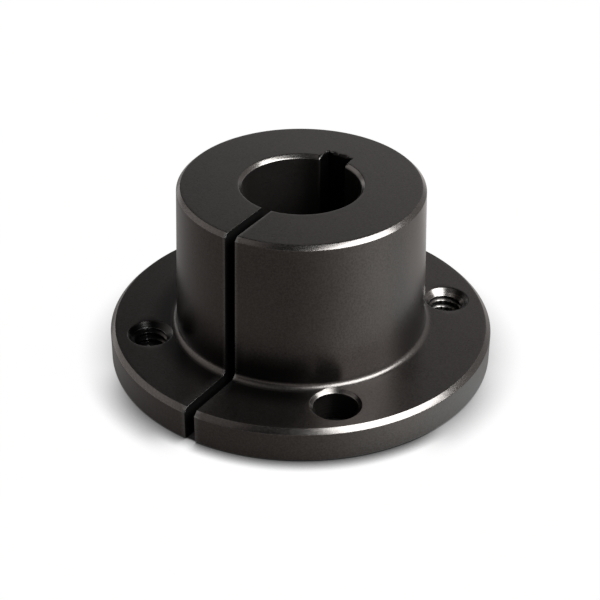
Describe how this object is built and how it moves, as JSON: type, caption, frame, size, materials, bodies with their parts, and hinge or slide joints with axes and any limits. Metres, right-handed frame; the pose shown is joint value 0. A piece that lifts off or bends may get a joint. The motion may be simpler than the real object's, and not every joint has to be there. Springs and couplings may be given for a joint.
{
  "type": "quick disconnect bushing",
  "caption": "Split and keyed steel bushing with a round bolt flange and a tapered barrel that closes on a shaft as it is drawn into a tapered hub.",
  "frame": {"origin": "centre of the flange's back face, on the axis of the bore", "axes": "+Z along the bore's axis towards the barrel's small end, +Y through the keyway, -Y through the saw cut, +X to the right when the keyway is at the back"},
  "size_m": [0.0636, 0.0635, 0.031],
  "materials": {
    "black_oxide_steel": "machined steel with a dark, warm grey black oxide finish, satin to half gloss"
  },
  "bodies": {
    "root": {"bushing": "black_oxide_steel"}
  },
  "joints": []
}
